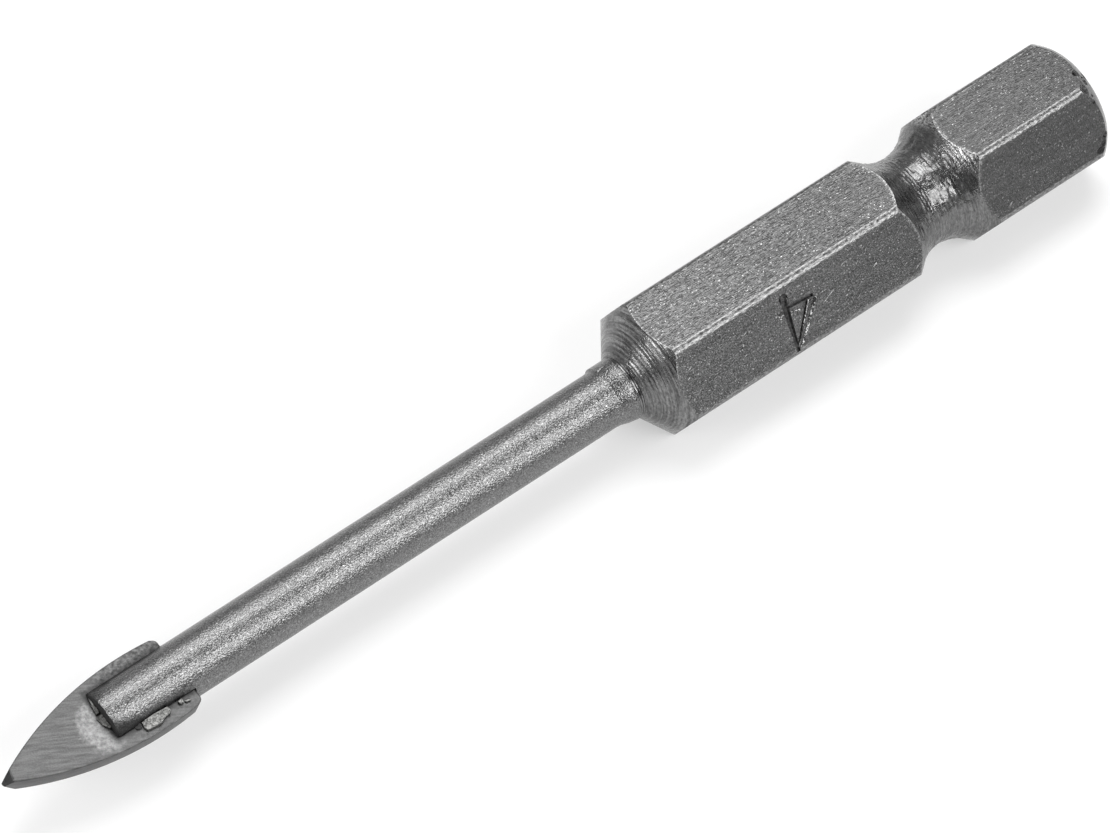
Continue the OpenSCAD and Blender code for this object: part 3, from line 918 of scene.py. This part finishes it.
# The braze in front of the cheeks' end is given a darker tone.
darker_in_front_of_cheeks = add(tree, "MapRange", {0: along, 1: -(SHAFT_END - 0.1) * MM, 2: -SHAFT_END * MM, 3: 1.0, 4: 0.72})
for shade in (blotches, darker_in_front_of_cheeks):
    tone = add(tree, "Mix", {0: 1.0, 6: tone, 7: shade}, data_type="RGBA", blend_type="MULTIPLY")
bump = add(tree, "Bump", {"Height": grain, "Strength": 1.0, "Distance": 0.012 * MM})
close_finish(tree, tone, 0.42, bump)

# %% [markdown]
# ## Which face has which finish
# One mesh can carry several materials, one for each face. A face is told by its place and its normal:
# the flats by their distance from the axis, the strokes because they lie just below a flat, and so on.
# A later finish takes over from an earlier one, so the turned steel goes on everything first.

# %% Tests of place and normal
HAIR = 0.002
FLAT_END_R = math.hypot(HEX_R, (HEX_R - CORNER_ROUND) * math.tan(HALF_SIXTH)) + HAIR


def on_flat(at, normal):
    return any(normal.dot(flat) > SAME_WAY and abs(at.dot(flat) - HEX_R) < 0.003 for flat in FLAT_NORMALS)


def on_corner(at, normal):
    return at.yz.length > FLAT_END_R and abs(normal.x) < 0.02 and not on_flat(at, normal)


def near_figure(at):
    beside = abs(-at.x - FIGURE_AT) < FIGURE_HALF
    return beside and at.dot(FIGURE_NORMAL) > 2.9 and at.yz.length < FLAT_END_R


def in_stroke(at, normal):
    return near_figure(at) and at.dot(FIGURE_NORMAL) < HEX_R - 0.035


def on_lip(at, normal):
    return at.dot(FIGURE_NORMAL) > HEX_R + 0.003


def at_blade_seat(at, normal):
    in_slot = abs(at.dot(BLADE_NORMAL)) < SLOT_WIDTH / 2 + HAIR
    return -at.x > BLADE_REAR - 0.1 and (abs(normal.x) > 0.9 or in_slot)


def in_knock(at, normal):
    for along, turn, radius, size in KNOCKS:
        outwards = Vector((0, -math.cos(math.radians(turn)), math.sin(math.radians(turn))))
        from_middle = at - Vector((-along, 0, 0)) - radius * outwards
        round_axis = outwards.cross(Vector((1, 0, 0)))
        parts = (from_middle.x, from_middle.dot(round_axis), from_middle.dot(outwards))
        if sum((part / half) ** 2 for part, half in zip(parts, size)) < 1.1:
            return True
    return False


def in_clot(at, normal):
    """Just round the outline of the clot, on either face of the blade."""
    across = at.y * math.cos(BLADE_TURN) + at.z * math.sin(BLADE_TURN)
    return -56.4 < at.x < -55.95 and abs(across) < 1.52 and abs(at.dot(BLADE_NORMAL)) < FACE + 0.2


# %% Give the finishes
give_finish(shank, cut_steel, lambda at, normal: True)
give_finish(shank, shaft_steel, lambda at, normal: -at.x > COLLAR_START + 0.2)
give_finish(shank, drawn_steel, on_flat)
give_finish(shank, corner_steel, on_corner)
give_finish(shank, lip_steel, on_lip)
give_finish(shank, struck_steel, in_stroke)
give_finish(shank, knocked_steel, in_knock)
# Burnt flux on the cheeks' end faces and in the slot; on the end faces it is partly painted shade.
give_finish(shank, flux_with_shade, at_blade_seat)
give_finish(blade, carbide, lambda at, normal: True)
give_finish(blade, shaded_point_carbide, lambda at, normal: normal.x < -0.6 and -at.x > POINT_AT - 1.2)
give_finish(filler, braze_alloy, lambda at, normal: True)
# The clot's black is painted shade in the corner beside the flake.
give_finish(filler, flux_with_shade, in_clot)

# %% [markdown]
# ## Joining the frame
# Nothing on the bit moves, so every piece rides on the one body of the frame.

# %% Ride and replace
for piece, node_name, slot_name in ((shank, "shank", "shank_steel"), (blade, "carbide_tip", "carbide"),
                                    (filler, "braze", "braze_alloy")):
    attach(piece, "root")
    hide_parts(node_name)

# %% [markdown]
# ## Floor, light and camera
# The bit lies on one flat of its hexagon on a white table. Two large soft boxes light it, one a little
# behind the top and one lower in front: they are the two bright streaks along the shaft. A smaller one
# beyond the point lights what faces that way, the shoulder cone and the rear wall of the groove. The table
# has a faint glow of its own for the camera and for reflections, so it is white and its shadow is light.

# %% Floor
start_fresh()
bpy.ops.mesh.primitive_plane_add(size=4, location=(0, 0, -HEX_R * MM))
floor = bpy.context.object
floor.name = "table"
white, tree, _ = new_material("white_table")
path = add(tree, "LightPath")
seen = path.outputs["Is Camera Ray"]
for ray in ("Is Glossy Ray", "Is Transmission Ray"):
    seen = add(tree, "Math", {0: seen, 1: path.outputs[ray]}, operation="MAXIMUM")
lift = add(tree, "Math", {0: seen, 1: 0.47}, operation="MULTIPLY")
paint = add(tree, "BsdfDiffuse", {"Color": linear("bcbcbc")})
glow = add(tree, "Emission", {"Strength": lift})
both = add(tree, "AddShader", {0: paint, 1: glow})
add(tree, "OutputMaterial", {"Surface": both})
floor.data.materials.append(white)
print(floor.name, "at", round(floor.location.z / MM, 3), "mm")


# %% Lamps
def soft_box(name, direction, size, radiance, distance=0.6):
    """A rectangular lamp that faces the bit's middle; its power follows from how bright its face is."""
    lamp = bpy.data.lights.new(name, "AREA")
    lamp.shape = "RECTANGLE"
    lamp.size, lamp.size_y = size
    lamp.energy = radiance * math.pi * size[0] * size[1]
    box = bpy.data.objects.new(name, lamp)
    bpy.context.scene.collection.objects.link(box)
    target = Vector((-30 * MM, 0, 0))
    outward = Vector(direction).normalized()
    along = Vector((1, 0, 0)) if abs(outward.x) < 0.5 else Vector((0, 1, 0))
    sideways = (along - along.dot(outward) * outward).normalized()
    box.location = target + outward * distance
    box.rotation_euler = Matrix((sideways, outward.cross(sideways), outward)).transposed().to_euler()
    print(name, "of", round(lamp.energy, 2), "W")


soft_box("soft_box_over", (0.27, 0.285, 0.92), (0.43, 0.37), 4.3)
soft_box("soft_box_front", (0.27, -0.735, 0.617), (0.43, 0.36), 5.1)
soft_box("soft_box_left", (-0.86, 0.10, 0.50), (0.26, 0.26), 6.0)

# %% World
world = bpy.data.worlds.new("studio")
bpy.context.scene.world = world
world.use_nodes = True
tree = world.node_tree
tree.nodes.clear()
path = add(tree, "LightPath")
way = add(tree, "SeparateXYZ", {0: add(tree, "TexCoord").outputs["Generated"]})
dim = add(tree, "MapRange", {0: way.outputs["Y"], 1: -1, 2: 1, 3: 0.12, 4: 0.58})
level = add(tree, "MapRange", {0: path.outputs["Is Camera Ray"], 3: dim, 4: 1.0})
sky = add(tree, "Background", {"Color": (1, 1, 1, 1), "Strength": level})
add(tree, "OutputWorld", {"Surface": sky})
bpy.context.scene.view_settings.view_transform = "Standard"

# %% Camera
# Its lens, place and turn were fitted to the photograph with the hexagon at its real size.
lens = bpy.data.cameras.new("camera")
lens.sensor_width = 36
lens.lens = 224.43
lens.clip_start = 0.01
camera = bpy.data.objects.new("camera", lens)
bpy.context.scene.collection.objects.link(camera)
camera.location = (-0.148896, -0.150549, 0.254183)
camera.rotation_euler = [math.radians(a) for a in (37.0395, 0.4518, -38.6002)]
bpy.context.scene.camera = camera
print("camera", round(camera.location.length / MM), "mm from the rear end")
